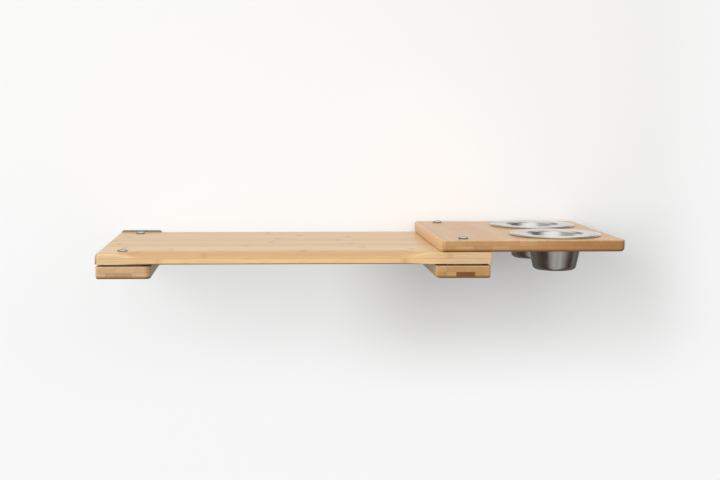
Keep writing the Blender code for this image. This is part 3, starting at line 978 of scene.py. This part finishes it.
def bolt_profile(head_radius, tip, top):
    """Half of the bolt's section, with its seat at 0."""
    edge = top * HEAD_EDGE_SHARE
    dome = top - edge
    sphere = (head_radius**2 + dome**2) / (2 * dome)
    profile = [(0, tip), (BOLT_SHANK_RADIUS - BOLT_CHAMFER, tip), (BOLT_SHANK_RADIUS, tip + 0.5 * MM)]
    profile += [(BOLT_SHANK_RADIUS, 0), (head_radius - BOLT_CHAMFER, 0), (head_radius, 0.3 * MM)]
    for step in range(DOME_STEPS + 1):
        radius = blend(head_radius, SOCKET_LAND, step / DOME_STEPS)
        profile.append((radius, edge + sqrt(sphere**2 - radius**2) - (sphere - dome)))
    return profile


def sink_socket(bm, top):
    """Close the dome with a flat land, and sink a hexagonal socket into it."""
    rim = [vert for vert in bm.verts if vert.co.z > top - SOCKET_DEPTH]
    rim = [vert for vert in rim if abs(hypot(vert.co.x, vert.co.y) - SOCKET_LAND) < 1e-6]
    rim.sort(key=lambda vert: atan2(vert.co.y, vert.co.x))
    corner_radius = SOCKET_FLATS / 2 / cos(pi / 6)
    height = rim[0].co.z
    upper, lower = [], []
    for vert in rim:
        angle = atan2(vert.co.y, vert.co.x)
        sector = pi / 3 * floor(angle / (pi / 3)) + pi / 6
        reach = corner_radius * cos(pi / 6) / cos(angle - sector)
        for ring, z in ((upper, height), (lower, height - SOCKET_DEPTH)):
            ring.append(bm.verts.new((reach * cos(angle), reach * sin(angle), z)))
    for i in range(len(rim)):
        j = (i + 1) % len(rim)
        bm.faces.new((rim[i], rim[j], upper[j], upper[i]))
        bm.faces.new((upper[i], upper[j], lower[j], lower[i]))
    bm.faces.new(lower)


print("Socket:", SOCKET_FLATS / MM, "mm across its flats")

# %% [markdown]
# The right bolts sit on the platform and the left ones on the plank, so their seats differ in height.

# %% Bolts
BOLT_TURNS = 48
SEAT_GAP = 0.3 * MM
for (side, end), (x, y) in bolt_axes.items():
    node = f"{side}_{end}_bolt"
    low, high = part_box(node)
    seat = (platform_high.z if side == "right" else plank_high.z) + SEAT_GAP
    bm = bmesh.new()
    turn(bm, bolt_profile((high.x - low.x) / 2, low.z - seat, high.z - seat), BOLT_TURNS)
    sink_socket(bm, high.z - seat)
    bolt = as_piece(node + "_turned", bm, bolt_steel, node, (x, y, seat), 30)
print("Bolt heads:", round((high.x - low.x) / MM, 2), "mm across,", len(bolt.data.polygons), "faces each")

# %% [markdown]
# ## Wall screws
#
# Two screws pass through each upright plate into the wall's stud. From the front the boards hide them,
# but from behind their whole thread shows. A thread is a ridge that winds about a core: the screw is a
# tube whose radius rises and falls with the angle as well as with the depth, and the tip is drawn in.

# %% A screw's thread
SCREW_SIDES = 20
SCREW_RADIUS = 2.4 * MM
SMOOTH_SHARE = 0.86
SCREW_HEAD_EDGE = 0.2 * MM
SCREW_HEAD_DEPTH = 1.3 * MM
THREAD_PITCH = 2.4 * MM
THREAD_DEPTH = 0.75 * MM
RIDGE_SHARE = 0.45
SMOOTH_LENGTH = 12 * MM
TIP_LENGTH = 7 * MM
TIP_RADIUS = 0.1 * MM
ROWS_PER_TURN = 12


def ridge(turns):
    """How far a thread stands out at a place in its turn, from 0 to 1."""
    from_crest = abs((turns % 1.0) - 0.5) * 2
    return max(0.0, 1.0 - (1.0 - from_crest) / RIDGE_SHARE)


def round_ring(radius, depth):
    return [(radius * cos(angle), radius * sin(angle), depth) for angle in circle_angles(SCREW_SIDES)]


def threaded_ring(depth, length):
    """The screw's outline at a depth: its core, and the ridge that has wound this far round it."""
    taper = min(1.0, (length - depth) / TIP_LENGTH)
    threaded = eased((depth - SMOOTH_LENGTH) / THREAD_PITCH)
    core = blend(SCREW_RADIUS * SMOOTH_SHARE, SCREW_RADIUS - THREAD_DEPTH, threaded) * taper
    ring = []
    for angle in circle_angles(SCREW_SIDES):
        crest = ridge(depth / THREAD_PITCH - angle / (2 * pi)) * threaded
        radius = core + (SCREW_RADIUS * taper - core) * crest
        ring.append((radius * cos(angle), radius * sin(angle), depth))
    return ring


def screw_mesh(head_radius, length):
    """A countersunk screw about Z, its head at 0 and its tip at the length."""
    bm = bmesh.new()
    row_height = THREAD_PITCH / ROWS_PER_TURN
    row_count = int((length - SCREW_HEAD_DEPTH) / row_height)
    rings = [round_ring(head_radius, 0.0), round_ring(head_radius, SCREW_HEAD_EDGE)]
    rings.append(round_ring(SCREW_RADIUS * SMOOTH_SHARE, SCREW_HEAD_DEPTH))
    rings += [threaded_ring(SCREW_HEAD_DEPTH + row_height * i, length) for i in range(1, row_count)]
    rings.append(round_ring(TIP_RADIUS, length))
    skin(bm, rings)
    return bm


print("The thread rises", THREAD_PITCH / MM, "mm a turn")

# %% [markdown]
# The screw is modelled upright and then laid down, so that its tip points into the wall.

# %% Wall screws
for side in SIDES:
    for level in ("upper", "lower"):
        node = f"{side}_{level}_wall_screw"
        low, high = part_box(node)
        bm = screw_mesh((high.x - low.x) / 2, high.y - low.y)
        for vert in bm.verts:
            x, y, z = vert.co
            vert.co = (x, z, -y)
        centre = ((low.x + high.x) / 2, low.y, (low.z + high.z) / 2)
        screw = as_piece(node + "_threaded", bm, fastener_steel, node, centre, 40)
print("Wall screws:", round((high.y - low.y) / MM, 1), "mm long,", len(screw.data.polygons), "faces each")

# %% [markdown]
# ## Pieces that keep their solid
#
# The steel brackets are flat plate with round corners, and their solids already have that shape. The
# threaded inserts and the short screws between block and arm are hidden inside. These keep their solids
# and get their finish by taking a new material.

# %% Finishes for the solids that stay
finish_of = {side + "_wall_bracket": bracket_steel for side in SIDES}
for side in SIDES:
    for end in ENDS:
        finish_of[f"{side}_{end}_insert"] = insert_brass
        finish_of[f"{side}_{end}_block_screw"] = fastener_steel
for node, material in finish_of.items():
    solid = frame["nodes"][node]
    solid.data.materials.clear()
    solid.data.materials.append(material)
print("Solids with a new finish:", len(finish_of))

# %% [markdown]
# ## Wall and floor
#
# The shelf hangs on a pale painted wall, which catches its soft shadow. Seen from behind, that wall
# would hide everything. So both the wall and the floor are only there for the camera, and only on their
# front: from behind they are clear. The light that a real wall would send back comes from the world.
# A bright room fills a shadow with light that bounces many times. The paint glows by itself to stand
# for that. It glows least behind the right bracket, where the boards stand closest and shut light out,
# more at the left, and most beyond the shelf's right end and well below it.

# %% Paint for wall and floor
PAINT_SHADE = colour(236, 236, 236)
GLOW_SHADE = colour(248, 248, 248)
GLOW_AT_LEFT = 0.64
GLOW_AT_BRACKET = 0.23
GLOW_AT_RIGHT = 0.8
GLOW_BELOW = 0.95
FALLING = (40.0, 206.0)
RISING = (490.0, 610.0)
LOWERING = (-110.0, -240.0)


def stage_paint(name):
    """Matt paint that is clear from behind, and glows a little. Its places are in millimetres."""
    made = bpy.data.materials.new(name)
    made.use_nodes = True
    tree = made.node_tree
    tree.nodes.remove(tree.nodes["Principled BSDF"])
    start = Signal(tree)
    matt = start.node("ShaderNodeBsdfDiffuse", {}, {"Color": PAINT_SHADE})
    glow = start.node("ShaderNodeEmission", {}, {"Color": GLOW_SHADE})
    x, y, z = parts(millimetres(start))
    falling = soft_step(x, *FALLING) * (GLOW_AT_BRACKET - GLOW_AT_LEFT)
    rising = soft_step(x, *RISING) * (GLOW_AT_RIGHT - GLOW_AT_BRACKET)
    beside = falling + rising + GLOW_AT_LEFT
    glow_share = beside + (GLOW_BELOW - beside) * soft_step(z, *LOWERING)
    paint = start.node("ShaderNodeMixShader", {}, {0: glow_share, 1: matt, 2: glow})
    clear = start.node("ShaderNodeBsdfTransparent")
    behind = start.node("ShaderNodeNewGeometry", output="Backfacing")
    both = start.node("ShaderNodeMixShader", {}, {0: behind, 1: paint, 2: clear})
    tree.links.new(both.socket, tree.nodes["Material Output"].inputs["Surface"])
    return made


pale_paint = stage_paint("pale_paint")
print("Paint glows from", GLOW_AT_BRACKET, "to", GLOW_BELOW)

# %% [markdown]
# The wall starts just behind the shelf. The floor lies far below it, outside the photo's view.

# %% Wall and floor
def rectangle(reach, near, far):
    """Corners that turn left, as far to the left as to the right."""
    return [(-reach, near), (reach, near), (reach, far), (-reach, far)]


def stage_sheet(name, corners, material):
    """A flat sheet that only the camera sees. Its corners turn left, seen from the front."""
    mesh = bpy.data.meshes.new(name)
    mesh.from_pydata(corners, [], [range(len(corners))])
    mesh.materials.append(material)
    sheet = new_object(name, mesh)
    sheet.visible_diffuse = False
    sheet.visible_glossy = False
    sheet.visible_transmission = False
    sheet.visible_shadow = False
    return sheet


WALL_GAP = 0.4 * MM
WALL_REACH = 4.0
FLOOR_LEVEL = -1.3
FLOOR_REACH = 9.0
wall_corners = [(x, WALL_GAP, z) for x, z in rectangle(WALL_REACH, FLOOR_LEVEL, WALL_REACH)]
floor_corners = [(x, y, FLOOR_LEVEL) for x, y in rectangle(FLOOR_REACH, -FLOOR_REACH, FLOOR_REACH)]
stage_sheet("wall_sheet", wall_corners, pale_paint)
stage_sheet("floor_sheet", floor_corners, pale_paint)
print("The wall stands", WALL_GAP / MM, "mm behind the shelf's back edge")

# %% [markdown]
# ## Light
#
# A large soft lamp stands in front on the left, as a window would, and the room gives the rest: more
# from above than from below, so the undersides of boards stay dark. The lamp's share and the room's
# share add up to about 1 on a face that looks forward, so a colour renders about as it is written.
#
# The room is the world. Each ray leaves in a direction, and the world works out a colour from how far
# that direction points east, north and up. The east and north shares leave out the height.

# %% Soft light from the room
ROOM_FROM_BELOW = (0.08, 0.08, 0.08, 1)
ROOM_FROM_ABOVE = (0.99, 0.99, 0.98, 1)
WHITE = (1, 1, 1, 1)

world = bpy.data.worlds.new("room")
bpy.context.scene.world = world
world.use_nodes = True
air = Signal(world.node_tree)
direction = air.node("ShaderNodeTexCoord", output="Generated")
east, north, above = parts(direction)
flat_length = (east * east + north * north).math("SQRT").math("MAXIMUM", 0.001)
east_share, north_share = east / flat_length, north / flat_length
soft_light = mixed(soft_step(above, -0.7, 0.5), ROOM_FROM_BELOW, ROOM_FROM_ABOVE)
print("Soft light goes from", ROOM_FROM_BELOW[0], "below to", ROOM_FROM_ABOVE[0], "above")

# %% [markdown]
# Metal and lacquer need something to reflect. For glossy rays the world is a plain room. In front are a
# white window with dimmer walls beside it, and a dark floor with one patch of daylight before the window
# and a fainter one at the right. Behind is the wall that the shelf hangs on: white at the shelf's height,
# dark just below, where the shelf shades it, and dimmer upwards, until the white ceiling begins.

# %% What metal reflects
ahead = soft_step(east_share, -0.75, -0.45) * soft_step(east_share, 0.95, 0.35) * (north_share < 0)
at_right = soft_step(abs(north_share - 0.19), 0.18, 0.04) * (east_share > 0)
stripes = grain_noise(vector_of(east_share, north_share, 0.0), 11.0, 3.0)
dark_floor = mixed(soft_step(stripes, 0.4, 0.6), colour(52, 48, 46), colour(92, 76, 66))
lit_floor = mixed(soft_step(stripes, 0.35, 0.65), colour(140, 136, 132), colour(184, 181, 178))
floor_tone = mixed(ahead, dark_floor, lit_floor)
floor_tone = mixed(at_right, floor_tone, colour(135, 133, 131))
side_walls = mixed(soft_step(east_share, -0.2, 0.4), colour(175, 175, 175), colour(105, 105, 105))
in_front = mixed(soft_step(above, -0.34, -0.12), floor_tone, mixed(ahead, side_walls, WHITE))
behind = mixed(soft_step(above, -0.24, -0.02), colour(96, 91, 86), colour(236, 235, 233))
behind = mixed(soft_step(above, 0.15, 0.45), behind, colour(140, 140, 138))
behind = mixed(soft_step(above, 0.6, 0.8), behind, WHITE)
reflected = mixed(soft_step(north_share, 0.1, 0.35), in_front, behind)

paths = {name: air.node("ShaderNodeLightPath", output=name) for name in ("Is Camera Ray", "Is Glossy Ray")}
light = mixed(paths["Is Glossy Ray"], soft_light, reflected)
light = mixed(paths["Is Camera Ray"], light, WHITE)
feed(world.node_tree.nodes["Background"], "Color", light)
print("World:", len(world.node_tree.nodes), "nodes")

# %% [markdown]
# The lamp is one large square, aimed at the middle of the shelf. Metal doesn't see it, because the
# room's white window already stands for it there.

# %% Lamp
LAMP_POWER = 139.0
LAMP_SIZE = 2.6
LAMP_DISTANCE = 4.5
LAMP_AZIMUTH = radians(-36)
LAMP_ELEVATION = radians(11)
LAMP_AIM = Vector((0.05, -0.13, 0.0))

lamp_light = bpy.data.lights.new("soft_lamp", "AREA")
lamp_light.shape = "SQUARE"
lamp_light.size = LAMP_SIZE
lamp_light.energy = LAMP_POWER
lamp = new_object("soft_lamp", lamp_light)
lamp.visible_glossy = False
flat_reach = cos(LAMP_ELEVATION)
to_side, to_front = sin(LAMP_AZIMUTH) * flat_reach, -cos(LAMP_AZIMUTH) * flat_reach
towards_lamp = Vector((to_side, to_front, sin(LAMP_ELEVATION)))
lamp.location = LAMP_AIM + towards_lamp * LAMP_DISTANCE
lamp.rotation_mode = "QUATERNION"
lamp.rotation_quaternion = towards_lamp.to_track_quat("Z", "Y")
print("Lamp at", [round(value, 2) for value in lamp.location], "m")

# %% [markdown]
# ## Camera
#
# The photograph was taken from a little above the shelf, left of its middle, with a moderately long lens.
# The lens is shifted sideways, because the plank's front edge stays level while the shelf sits left of
# where the lens points. The view's height comes from pitching the camera down.

# %% Camera
CAMERA_PLACE = (-0.0371, -1.7114, 0.1757)
CAMERA_PITCH = radians(5.796)
CAMERA_YAW = radians(1.473)
CAMERA_LENS = 62
CAMERA_SHIFT = 0.0917
camera_data = bpy.data.cameras.new("camera")
camera_data.sensor_width = 36
camera_data.lens = CAMERA_LENS
camera_data.shift_x = CAMERA_SHIFT
camera = new_object("camera", camera_data)
camera.location = CAMERA_PLACE
camera.rotation_euler = (pi / 2 - CAMERA_PITCH, 0, -CAMERA_YAW)
bpy.context.scene.camera = camera
bpy.context.scene.view_settings.view_transform = "Standard"
print("Camera looks down by", round(90 - degrees(camera.rotation_euler.x), 1), "degrees")

# %% Finish
bpy.context.view_layer.update()
